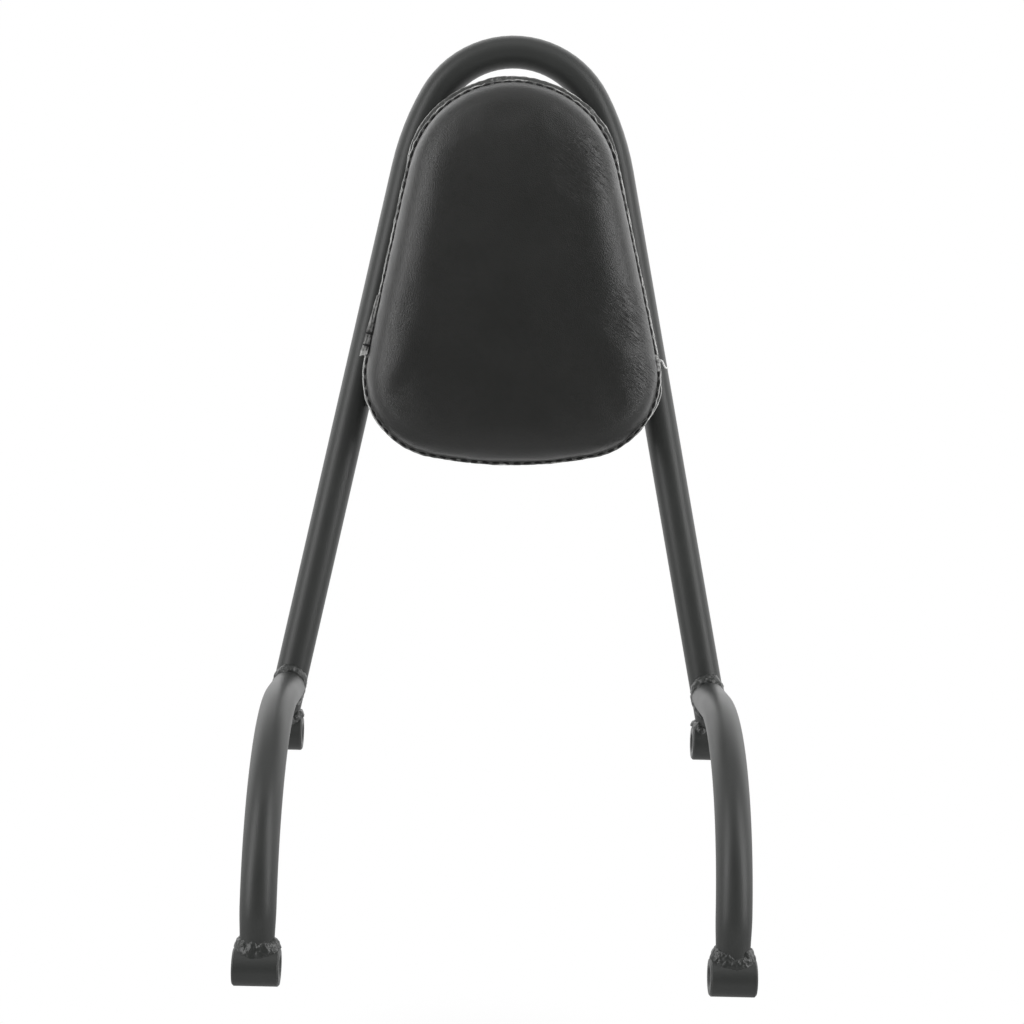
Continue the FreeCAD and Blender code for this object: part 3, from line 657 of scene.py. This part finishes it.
def draw_flange(name, front):
    """One layer of the seam flange: tucked under the pad, sewn down, wavy at its cut edge."""
    stand = SEAM_STAND if front else SEAM_STAND - FLANGE_LAYER
    sections = []
    for step, (point, outward) in enumerate(seam_line(SEAM_STEPS)):
        arch = scallop(step)
        edge = flange_reach(point, outward)
        if front:
            edge = front_reach(point, arch, edge)
        wave = flutter(point, size=0.011, strand=4 if front else 5)
        ripple = flutter(point, size=0.004, strand=6 if front else 7)
        edge += 0.0003 * ripple
        ridge = max(0.0014, edge - 0.001)
        # The cut edge is painted paler at the left and right, where the side lamps light it, and
        # painted darker along the bottom: painted light over the backing that shows there.
        pale = 0.55 + 0.4 * outward.x ** 2 + 0.6 * wave
        pale += 0.3 * loose_seam(point)
        pale += 0.2 * min(outward.y, 0)
        # From the tuck to the cut edge: out from the seam, stand, and how pale it is, from the
        # backing that shows and, at the edge, painted light
        profile = [
            (-0.004, stand + 0.0004, 0),
            (0.0001, stand + 0.0008, 0.2),
            (0.0008, stand + 0.001 * (1 - arch), 0.3),
            (ridge, stand + 0.0007 + 0.0003 * wave, 0.3 + 0.2 * ripple),
            (edge - 0.0004, stand + 0.0007 + 0.0005 * wave + 0.0003 * ripple, 0.4 + 0.4 * wave),
            (edge, stand + 0.0004 + 0.0007 * wave + 0.0004 * ripple, pale),
        ]
        sections.append([
            (at_seam(point, outward, grow, depth), raw) for grow, depth, raw in profile
        ])
    rings = list(zip(*sections))
    piece = draw_rings(name, [[place for place, _ in ring] for ring in rings])
    mark_raw_and_painted_light(piece, [raw for ring in rings for _, raw in ring])
    thicken(piece, FORWARDS)
    return piece


def shape_stitch():
    """One stitch: a short fat loop of thread whose ends dip into the needle holes."""
    bpy.ops.object.select_all(action="DESELECT")
    bpy.ops.mesh.primitive_uv_sphere_add(segments=10, ring_count=6, radius=1)
    stitch = bpy.context.object
    open_mesh(stitch)
    bpy.ops.transform.resize(value=STITCH_SIZE)
    close_mesh()
    for vertex in stitch.data.vertices:
        vertex.co.y += STITCH_DIP * vertex.co.x ** 2
    return stitch


def sew(name, stitch, spots):
    """Copies of a stitch at their spots, joined to one seam."""
    copies = []
    for pose in spots:
        copy = bpy.data.objects.new(name, stitch.data.copy())
        copy.data.transform(pose)
        bpy.context.scene.collection.objects.link(copy)
        copies.append(copy)
    only(copies[0])
    for copy in copies:
        copy.select_set(True)
    bpy.ops.object.join()
    copies[0].data.name = name
    return copies[0]


def stitch_spot(point, outward, grow, lift, turn):
    """Where a stitch lies beside the seam, turned so far out of the seam's direction."""
    along = Vector((outward.y, -outward.x))
    pose = Matrix((
        (along.x, 0, outward.x, 0),
        (0, 1, 0, 0),
        (along.y, 0, outward.y, 0),
        (0, 0, 0, 1),
    ))
    place = Matrix.Translation(at_seam(point, outward, grow, SEAM_STAND + lift))
    return place @ pose @ Matrix.Rotation(turn, 4, "Y")


def seam_spots():
    """The spots of the seam's stitches, midway between needle holes and none quite in line."""
    chance = random.Random(STITCH_SEED)
    spots = []
    for point, outward in seam_line(2 * STITCH_COUNT)[1::2]:
        turn = math.radians(chance.uniform(-STITCH_SWAY, STITCH_SWAY))
        spots.append(stitch_spot(point, outward, STITCH_OUT, STITCH_LIFT, turn))
    return spots


def side_of_seam(line, side, level):
    """The step of the seam line that lies nearest to a level on one side."""
    steps = [k for k, (point, _) in enumerate(line) if point.x * side > SIDE_START]
    return min(steps, key=lambda k: abs(line[k][0].y - level))


def draw_overlap():
    """The cover's loose end at the left: over the flange, standing off towards its cut end."""
    line = seam_line(SEAM_STEPS)
    top = side_of_seam(line, -1, OVERLAP_TOP)
    end = side_of_seam(line, -1, OVERLAP_END)

    def place(along, across):
        point, outward = line[round(top + (end - top) * along * (0.95 + 0.05 * across))]
        reach = flange_reach(point, outward) + 0.0006 + 0.0024 * along
        grow = OVERLAP_INNER + (reach - OVERLAP_INNER) * across
        stand = SEAM_STAND + 0.0011 + 0.0012 * along * across
        stand += 0.0003 * flutter(point, size=0.006, strand=8)
        return at_seam(point, outward, grow, stand)

    piece = draw_strip("seam_overlap", OVERLAP_COLUMNS, OVERLAP_ROWS, place)
    marks = []
    for row in range(OVERLAP_ROWS + 1):
        for column in range(OVERLAP_COLUMNS + 1):
            streak = noise.noise(Vector((column / 11, row / 0.8, 3.1)))
            marks.append(0.52 + 0.6 * streak + 0.3 * (column > OVERLAP_FRAYED))
    mark_raw_and_painted_light(piece, marks)
    thicken(piece, FORWARDS)
    return piece


def tie_spots():
    """The spots of the two ties that hold the loose end down."""
    line = seam_line(SEAM_STEPS)
    spots = []
    for level in TIE_LEVELS:
        point, outward = line[side_of_seam(line, -1, level)]
        spots.append(stitch_spot(point, outward, TIE_OUT, TIE_LIFT, math.pi / 2))
    return spots


def draw_folded_end():
    """The cover's other end at the right, folded over on the flange with its pale side out."""
    line = seam_line(SEAM_STEPS)
    top = side_of_seam(line, 1, FOLD_TOP)
    end = side_of_seam(line, 1, FOLD_END)

    def place(along, across):
        point, outward = line[round(top + (end - top) * along)]
        bulge = math.sin(math.pi * along) * math.sin(math.pi * across)
        ragged = FOLD_RAGGED * flutter(point, size=0.0022, strand=9)
        ragged -= 0.0012 * abs(2 * along - 1) ** 3
        grow = -0.0004 + (0.0034 + ragged) * across
        stand = SEAM_STAND + 0.0012 + 0.0011 * bulge + 0.0006 * ragged / FOLD_RAGGED * across
        return at_seam(point, outward, grow, stand)

    piece = draw_strip("seam_fold", FOLD_COLUMNS, FOLD_ROWS, place)
    marks = [0.62 + 0.3 * noise.noise(vertex.co / 0.0012) for vertex in piece.data.vertices]
    mark_raw_and_painted_light(piece, marks)
    thicken(piece, FORWARDS)
    return piece


def draw_thread_end():
    """The white end of thread that curls out of the fold."""
    bpy.ops.object.select_all(action="DESELECT")
    bpy.ops.curve.primitive_nurbs_path_add()
    piece = name_new("seam_thread_end")
    spline = piece.data.splines[0]
    spline.points.add(len(THREAD_END) - len(spline.points))
    for point, (x, level, stand) in zip(spline.points, THREAD_END):
        point.co = (x, -stand, level, 1)
    spline.order_u = 3
    spline.use_endpoint_u = True
    piece.data.bevel_depth = THREAD_RADIUS
    piece.data.bevel_resolution = 2
    piece.data.use_fill_caps = True
    only(piece)
    bpy.ops.object.convert(target="MESH")
    return bpy.context.object


# Frame: a tube or bar is given by its middle, axis, radius and how it is pressed

def unpress(offset, press):
    """An offset from a tube's middle, as it would be if the tube weren't pressed."""
    return Vector((offset.x / press.x, offset.y / press.y, offset.z / press.z))


def onto_bar(place, bar):
    """The nearest place on the surface of a tube or bar."""
    middle, axis, radius, press = bar
    off = unpress(place - middle, press)
    run = axis * off.dot(axis)
    return middle + press * (run + (off - run).normalized() * radius)


def joint_line(tube, bar):
    """Where a tube meets a round bar: points, each with the outward directions of both."""
    foot, along, tube_radius, press = tube
    middle, axis, radius, _ = bar
    first = axis.cross(along).normalized()
    second = along.cross(first)
    line = []
    for step in range(BEAD_STEPS):
        turn = 2 * math.pi * step / BEAD_STEPS
        outward = first * math.cos(turn) + second * math.sin(turn)
        wall = foot + press * outward * tube_radius
        start = wall - middle
        start -= axis * start.dot(axis)
        run = along - axis * along.dot(axis)
        half = start.dot(run) / run.length_squared
        room = half ** 2 - (start.length_squared - radius ** 2) / run.length_squared
        point = wall + along * (math.sqrt(max(room, 0)) - half)
        away = point - middle
        of_tube = unpress(outward, press).normalized()
        line.append((point, of_tube, (away - axis * away.dot(axis)).normalized()))
    return line


def lumps_at(spot, lumps):
    """How far a bead's lumps stand out at a spot."""
    return sum(height * noise.noise(spot / size) for height, size in lumps)


def bead_profile(point, of_tube, of_bar, run, tube, bar, legs):
    """A bead's section at one point of its joint: a lumpy face from tube to bar, and its root."""
    tube_leg, bar_leg = legs
    up_tube = tube_leg * (1 + 0.4 * noise.noise(point / 0.004 + of_bar))
    down_bar = bar_leg * (1 - 0.3 * of_tube.dot(of_bar))
    down_bar *= 1 + 0.3 * noise.noise(point / 0.005 - of_bar)
    top = onto_bar(point + of_tube.cross(run) * up_tube, tube)
    toe = onto_bar(point + run.cross(of_bar) * down_bar, bar)
    outward = (of_tube + of_bar).normalized()
    section = []
    for side in range(BEAD_FACE):
        share = side / (BEAD_FACE - 1)
        arch = 4 * share * (1 - share)
        spot = top.lerp(toe, share) + outward * (BEAD_CROWN * arch - BEAD_SINK * (1 - arch))
        grit = Vector([noise.noise(spot / GRIT_SIZE + shift) for shift in GRIT_SHIFTS])
        section.append(spot + outward * lumps_at(spot, BEAD_LUMPS) + grit * GRIT_HEIGHT)
    for side in range(BEAD_FACE, BEAD_SIDES):
        share = (side - BEAD_FACE + 1) / (BEAD_SIDES - BEAD_FACE + 1)
        section.append(toe.lerp(top, share) - outward * BEAD_ROOT)
    return section


def lay_bead(name, node, tube, bar, legs, coat):
    """A weld bead: a ring along the joint of a tube and a bar, up the one and over the other."""
    line = joint_line(tube, bar)
    bpy.ops.object.select_all(action="DESELECT")
    bpy.ops.mesh.primitive_torus_add(major_segments=BEAD_STEPS, minor_segments=BEAD_SIDES)
    piece = name_new(name)
    runs = []
    for k in range(BEAD_STEPS):
        runs.append((line[(k + 1) % BEAD_STEPS][0] - line[k - 1][0]).normalized())
    lift = sum(of_tube.cross(run).dot(tube[1]) for (_, of_tube, _), run in zip(line, runs))
    places = []
    for (point, of_tube, of_bar), run in zip(line, runs):
        run = run if lift > 0 else -run
        places += bead_profile(point, of_tube, of_bar, run, tube, bar, legs)
    for vertex, place in zip(piece.data.vertices, places):
        vertex.co = place
    open_mesh(piece)
    bpy.ops.mesh.normals_make_consistent(inside=False)
    close_mesh()
    settle(piece, coat, FRAME_POSE)
    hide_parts(node)


def lay_strap_beads(name, node, coat):
    """The short weld beads at a strap's ends, roughened where the frame has plain ones."""
    piece = copy_node(node, name)
    piece.data.remesh_voxel_size = STRAP_VOXEL
    bpy.ops.object.voxel_remesh()
    work(piece, "SMOOTH", factor=0.5, iterations=4)
    outwards = [normal.vector.copy() for normal in piece.data.vertex_normals]
    for vertex, outward in zip(piece.data.vertices, outwards):
        vertex.co += outward * lumps_at(vertex.co, STRAP_LUMPS)
    settle(piece, coat, Matrix())
    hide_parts(node)


def leg_stations():
    """Points down a front leg's middle with its run there, from inside the hoop to the bushing."""
    turn = math.pi / 2 - BRANCH_PITCH
    tangent = BEND_RADIUS * math.tan(turn / 2)
    corner_level = BRANCH_LEVEL + FRONT_BUSHING.y * math.tan(BRANCH_PITCH)
    corner = Vector((0, FRONT_BUSHING.y, corner_level))
    middle = Vector((0, FRONT_BUSHING.y + BEND_RADIUS, corner_level - tangent))
    start = Vector((0, 0, BRANCH_LEVEL))
    straight = (corner - start).length - tangent
    stations = []
    for step in range(STRAIGHT_STEPS):
        stations.append((start + BRANCH_RUN * (straight * step / STRAIGHT_STEPS), BRANCH_RUN))
    for step in range(BEND_STEPS + 1):
        angle = turn * (1 - step / BEND_STEPS)
        along = Vector((0, -math.sin(angle), -math.cos(angle)))
        outward = Vector((0, -math.cos(angle), math.sin(angle)))
        stations.append((middle + BEND_RADIUS * outward, along))
    drop = corner_level - tangent - FRONT_BUSHING.z
    for step in range(1, DROP_STEPS + 1):
        stations.append((corner + Vector((0, 0, -tangent - drop * step / DROP_STEPS)), -UP))
    return stations


def bend_leg(name, node, side, coat):
    """A front leg: bent tube whose lower end is pressed flatter, so that it sits on its bushing."""
    rings = []
    for point, along in leg_stations():
        pressed = ramp_up(PRESS_TOP - (point.z - FRONT_BUSHING.z), 0, PRESS_RUN)
        pressed = pressed * pressed * (3 - 2 * pressed)
        half_width = 1 - (1 - PRESSED.x) * pressed
        half_depth = 1 - (1 - PRESSED.y) * pressed
        behind = along.cross(ACROSS)
        middle = point + ACROSS * (side * BRANCH_PLANE)
        ring = []
        for step in range(TUBE_SIDES):
            turn = 2 * math.pi * step / TUBE_SIDES
            wide = ACROSS * (math.cos(turn) * TUBE_RADIUS * half_width)
            deep = behind * (math.sin(turn) * TUBE_RADIUS * half_depth)
            ring.append(middle + wide + deep)
        rings.append(ring)
    piece = draw_rings(name, rings)
    open_mesh(piece)
    bpy.ops.mesh.normals_make_consistent(inside=False)
    close_mesh()
    settle(piece, coat, FRAME_POSE)
    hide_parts(node)


def weld_side(name, side, coat):
    """The beads of one side: the front leg on the hoop, and the two bushings on their tubes."""
    up_leg = Vector((-side * math.sin(LEG_ANGLE), 0, math.cos(LEG_ANGLE)))
    rear_foot = Vector((side * LEG_FOOT_HALF, 0, 0))
    branch = Vector((side * BRANCH_PLANE, 0, BRANCH_LEVEL))
    front_foot = FRONT_BUSHING + ACROSS * (side * BRANCH_PLANE)
    branch_tube = (branch, BRANCH_RUN, TUBE_RADIUS, ROUND)
    hoop_leg = (branch, up_leg, TUBE_RADIUS, ROUND)
    leg_foot = (rear_foot, up_leg, TUBE_RADIUS, ROUND)
    rear_bushing = (rear_foot, ACROSS, BUSHING_RADIUS, ROUND)
    leg_end = (front_foot, UP, TUBE_RADIUS, PRESSED)
    front_bushing = (front_foot, ACROSS, BUSHING_RADIUS, ROUND)
    joints = {
        "leg": (branch_tube, hoop_leg),
        "rear_bushing": (leg_foot, rear_bushing),
        "front_bushing": (leg_end, front_bushing),
    }
    for joint, (tube, bar) in joints.items():
        bead = joint + "_bead_" + name
        lay_bead(bead, joint + "_weld_" + name, tube, bar, BEAD_LEGS[joint], coat)


# Studio: floor, light and camera

def larger_of(tree, first, second):
    """The larger of two values."""
    larger = add_node(tree, "ShaderNodeMath", operation="MAXIMUM")
    tree.links.new(first, larger.inputs[0])
    tree.links.new(second, larger.inputs[1])
    return larger.outputs["Value"]


def white_floor():
    """A pale floor that takes the shadow near the backrest and runs out to plain white.

    Mirrored in the tubes it is dim in front and bright behind, like a swept backdrop.
    """
    pale = (0.98, 0.98, 0.98, 1)
    material, tree, shader = new_material("white_floor", Base_Color=pale, Roughness=0.9)
    links = tree.links
    place = object_coordinates(tree)
    rays = add_node(tree, "ShaderNodeLightPath").outputs
    far = add_node(tree, "ShaderNodeVectorMath", operation="LENGTH")
    fade = add_node(tree, "ShaderNodeMapRange", interpolation_type="SMOOTHSTEP")
    set_range(fade, (0.0, SHADOW_REACH, 0.0, 1.0))
    amount = add_node(tree, "ShaderNodeMath", operation="MULTIPLY")
    white = add_node(tree, "ShaderNodeEmission")
    mix = add_node(tree, "ShaderNodeMixShader")
    strength = add_node(tree, "ShaderNodeMapRange", To_Min=1.0)
    parts = add_node(tree, "ShaderNodeSeparateXYZ")
    sweep = add_node(tree, "ShaderNodeMapRange")
    set_range(sweep, FLOOR_SWEEP)
    shown = larger_of(tree, rays["Is Camera Ray"], rays["Is Glossy Ray"])
    links.new(place, parts.inputs["Vector"])
    links.new(parts.outputs["Y"], sweep.inputs["Value"])
    links.new(sweep.outputs["Result"], strength.inputs["To Max"])
    links.new(rays["Is Glossy Ray"], strength.inputs["Value"])
    links.new(strength.outputs["Result"], white.inputs["Strength"])
    links.new(place, far.inputs[0])
    links.new(far.outputs["Value"], fade.inputs["Value"])
    links.new(fade.outputs["Result"], amount.inputs[0])
    links.new(larger_of(tree, shown, rays["Is Transmission Ray"]), amount.inputs[1])
    links.new(amount.outputs["Value"], mix.inputs["Fac"])
    links.new(shader.outputs["BSDF"], mix.inputs[1])
    links.new(white.outputs["Emission"], mix.inputs[2])
    links.new(mix.outputs["Shader"], tree.nodes["Material Output"].inputs["Surface"])
    return material


def light_the_studio():
    """A white room to look at, whose mirror image is bright behind and dark before the hoop."""
    world = bpy.data.worlds.new("white_studio")
    bpy.context.scene.world = world
    world.use_nodes = True
    tree = world.node_tree
    links = tree.links
    room = tree.nodes["Background"]
    room.inputs["Color"].default_value = (1, 1, 1, 1)
    direction = add_node(tree, "ShaderNodeTexCoord").outputs["Generated"]
    rays = add_node(tree, "ShaderNodeLightPath").outputs
    parts = add_node(tree, "ShaderNodeSeparateXYZ")
    aside = add_node(tree, "ShaderNodeMath", operation="ABSOLUTE")
    behind = add_node(tree, "ShaderNodeVectorMath", operation="DOT_PRODUCT")
    behind.inputs[1].default_value = FRAME_POSE.to_3x3() @ -FORWARDS
    away = add_node(tree, "ShaderNodeMath", operation="MULTIPLY_ADD")
    away.inputs[1].default_value = SCREEN_SIDES
    screens = add_node(tree, "ShaderNodeMapRange", interpolation_type="SMOOTHSTEP")
    set_range(screens, SCREENS)
    mirrored = add_node(tree, "ShaderNodeMix", A=WORLD_LEVEL)
    looked_at = larger_of(tree, rays["Is Camera Ray"], rays["Is Transmission Ray"])
    links.new(direction, parts.inputs["Vector"])
    links.new(direction, behind.inputs[0])
    links.new(parts.outputs["X"], aside.inputs[0])
    links.new(aside.outputs["Value"], away.inputs[0])
    links.new(behind.outputs["Value"], away.inputs[2])
    links.new(away.outputs["Value"], screens.inputs["Value"])
    links.new(rays["Is Glossy Ray"], mirrored.inputs["Factor"])
    links.new(screens.outputs["Result"], mirrored.inputs["B"])
    links.new(larger_of(tree, looked_at, mirrored.outputs["Result"]), room.inputs["Strength"])


def lay_floor():
    """The studio's floor, under the backrest."""
    bpy.ops.object.select_all(action="DESELECT")
    bpy.ops.mesh.primitive_plane_add(size=FLOOR_SIZE, location=(0, 0, FLOOR_LEVEL))
    floor = bpy.context.object
    floor.name = "studio_floor"
    floor.data.materials.append(white_floor())


def hang_lamp(name, place, aim, width, height, power):
    """A soft box at its place, turned to what it lights."""
    data = bpy.data.lights.new(name, "AREA")
    data.shape = "RECTANGLE"
    data.size = width
    data.size_y = height
    data.energy = power
    lamp = bpy.data.objects.new(name, data)
    lamp.location = place
    lamp.rotation_euler = (Vector(aim) - Vector(place)).to_track_quat("-Z", "Y").to_euler()
    bpy.context.scene.collection.objects.link(lamp)


def set_camera():
    """The camera stands square before the hoop plane, slightly to the left and rolled."""
    up = FRAME_POSE.to_3x3() @ UP
    forwards = FRAME_POSE.to_3x3() @ FORWARDS
    aim = ACROSS * AIM_ACROSS + up * AIM_LEVEL
    towards = (forwards - ACROSS * CAMERA_LEFT).normalized()
    upright = up - ACROSS * CAMERA_ROLL
    upright = (upright - towards * upright.dot(towards)).normalized()
    camera = bpy.data.objects.new("camera", bpy.data.cameras.new("camera"))
    pose = Matrix((upright.cross(towards), upright, towards)).transposed().to_4x4()
    pose.translation = aim + towards * CAMERA_DISTANCE
    camera.matrix_world = pose
    camera.data.sensor_width = SENSOR_WIDTH
    camera.data.lens = SENSOR_WIDTH * FOCAL_PIXELS / PICTURE_PIXELS
    bpy.context.scene.collection.objects.link(camera)
    bpy.context.scene.camera = camera


bpy.context.scene.view_settings.view_transform = "Standard"
coat = powder_coat("satin_black_coat", gloss=0.45, peel_size=0.0011, peel_depth=0.00018)
weld_coat = powder_coat("coated_weld", gloss=0.34, peel_size=0.0018, peel_depth=0.0009)
foam_tones = ((0.55, 0.48, 0.27), (0.75, 0.68, 0.44))
wood_tones = ((0.3, 0.19, 0.1), (0.52, 0.38, 0.23))
zinc_tones = ((0.52, 0.53, 0.55), (0.68, 0.68, 0.69))
finishes = {
    "frame_coat": coat,
    "pad_cover": leatherette("leatherette"),
    "foam": plain_grain("open_foam", foam_tones, scale=900.0, roughness=0.95, depth=0.0004),
    "board": plain_grain("plywood", wood_tones, scale=160.0, roughness=0.75, depth=0.0001),
    "zinc": plain_grain(
        "zinc_plate", zinc_tones, scale=220.0, roughness=0.34, depth=0.00005, Metallic=1.0
    ),
}
slots = {entry["node"]: entry["material_slot"] for entry in frame["record"]["subparts"]}
for name, node in nodes.items():
    node.data.materials.clear()
    node.data.materials.append(finishes[slots[name]])

front = stuff_pad_front()
settle(front, leatherette("creased_leatherette", creased=True), PAD_POSE)
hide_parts("pad_front_cover", "pad_foam")
back = draw_pad_back()
settle(back, finishes["pad_cover"], PAD_POSE)
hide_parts("pad_back_cover")
# Cut edges: the pale backing that shows, and painted light on the seam flange's sides.
cut_edges_with_painted_light = leatherette("cut_leatherette_with_painted_light", cut=True)
settle(draw_flange("seam_flange_front", True), cut_edges_with_painted_light, PAD_POSE)
settle(draw_flange("seam_flange_back", False), cut_edges_with_painted_light, PAD_POSE)
settle(draw_overlap(), cut_edges_with_painted_light, PAD_POSE)
settle(draw_folded_end(), cut_edges_with_painted_light, PAD_POSE)
# The thread is black, and painted darker than the leatherette so that it stands in for the shade in
# the seam's groove: painted shade.
black_and_shade_tones = ((0.004, 0.004, 0.004), (0.012, 0.012, 0.012))
white_tones = ((0.75, 0.75, 0.74), (0.93, 0.93, 0.92))
black_thread_and_shade = plain_grain("black_thread_and_shade", black_and_shade_tones, scale=1500.0, roughness=0.7, depth=0.0001)
white_thread = plain_grain("white_thread", white_tones, scale=1500.0, roughness=0.8, depth=0.0001)
stitch = shape_stitch()
settle(sew("seam_stitches", stitch, seam_spots()), black_thread_and_shade, PAD_POSE)
settle(sew("overlap_stitches", stitch, tie_spots()), black_thread_and_shade, PAD_POSE)
bpy.data.objects.remove(stitch)
settle(draw_thread_end(), white_thread, PAD_POSE)

for name, side in (("left", -1), ("right", 1)):
    bend_leg("bent_leg_" + name, "front_leg_" + name, side, coat)
    weld_side(name, side, weld_coat)
lay_strap_beads("upper_strap_beads", "upper_strap_welds", weld_coat)
lay_strap_beads("lower_strap_beads", "lower_strap_welds", weld_coat)

light_the_studio()
lay_floor()
for name, settings in LAMPS.items():
    hang_lamp(name, *settings)
set_camera()
